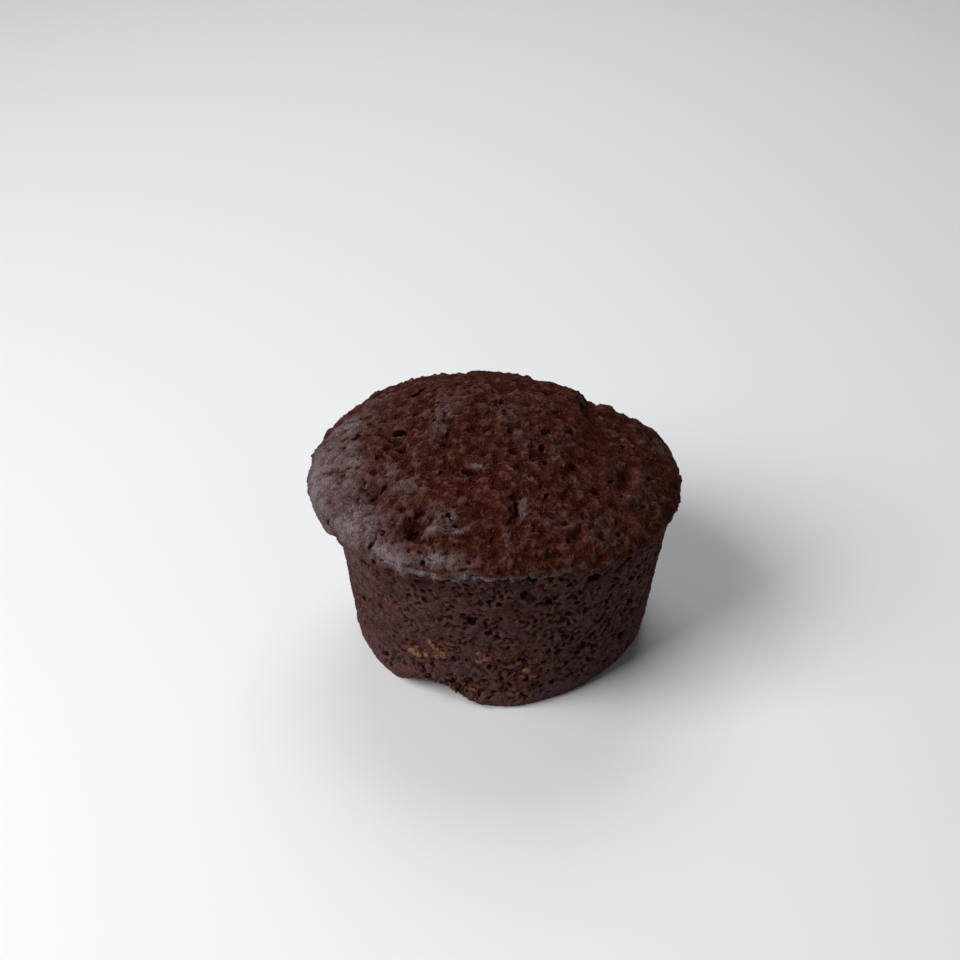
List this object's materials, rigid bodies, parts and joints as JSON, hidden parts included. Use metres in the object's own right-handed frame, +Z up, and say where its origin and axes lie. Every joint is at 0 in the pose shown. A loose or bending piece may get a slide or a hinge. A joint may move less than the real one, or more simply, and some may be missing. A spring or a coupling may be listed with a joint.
{
  "type": "brownie muffin",
  "caption": "Round chocolate brownie baked in a muffin tin: tapered porous sides, low cracked dome with a soft lip, flat base to stand on.",
  "frame": {"origin": "middle of the flat base, on the axis of the tin it was baked in", "axes": "+Z up through the dome; -Y faces the viewer of the picture, +X to the viewer's right"},
  "size_m": [0.0817, 0.0776, 0.0551],
  "materials": {
    "brownie_cake": "matt dark chocolate cake: porous purple-brown sides, granular red-brown crust with a faint grey sheen"
  },
  "bodies": {
    "root": {"brownie": "brownie_cake"}
  },
  "joints": []
}
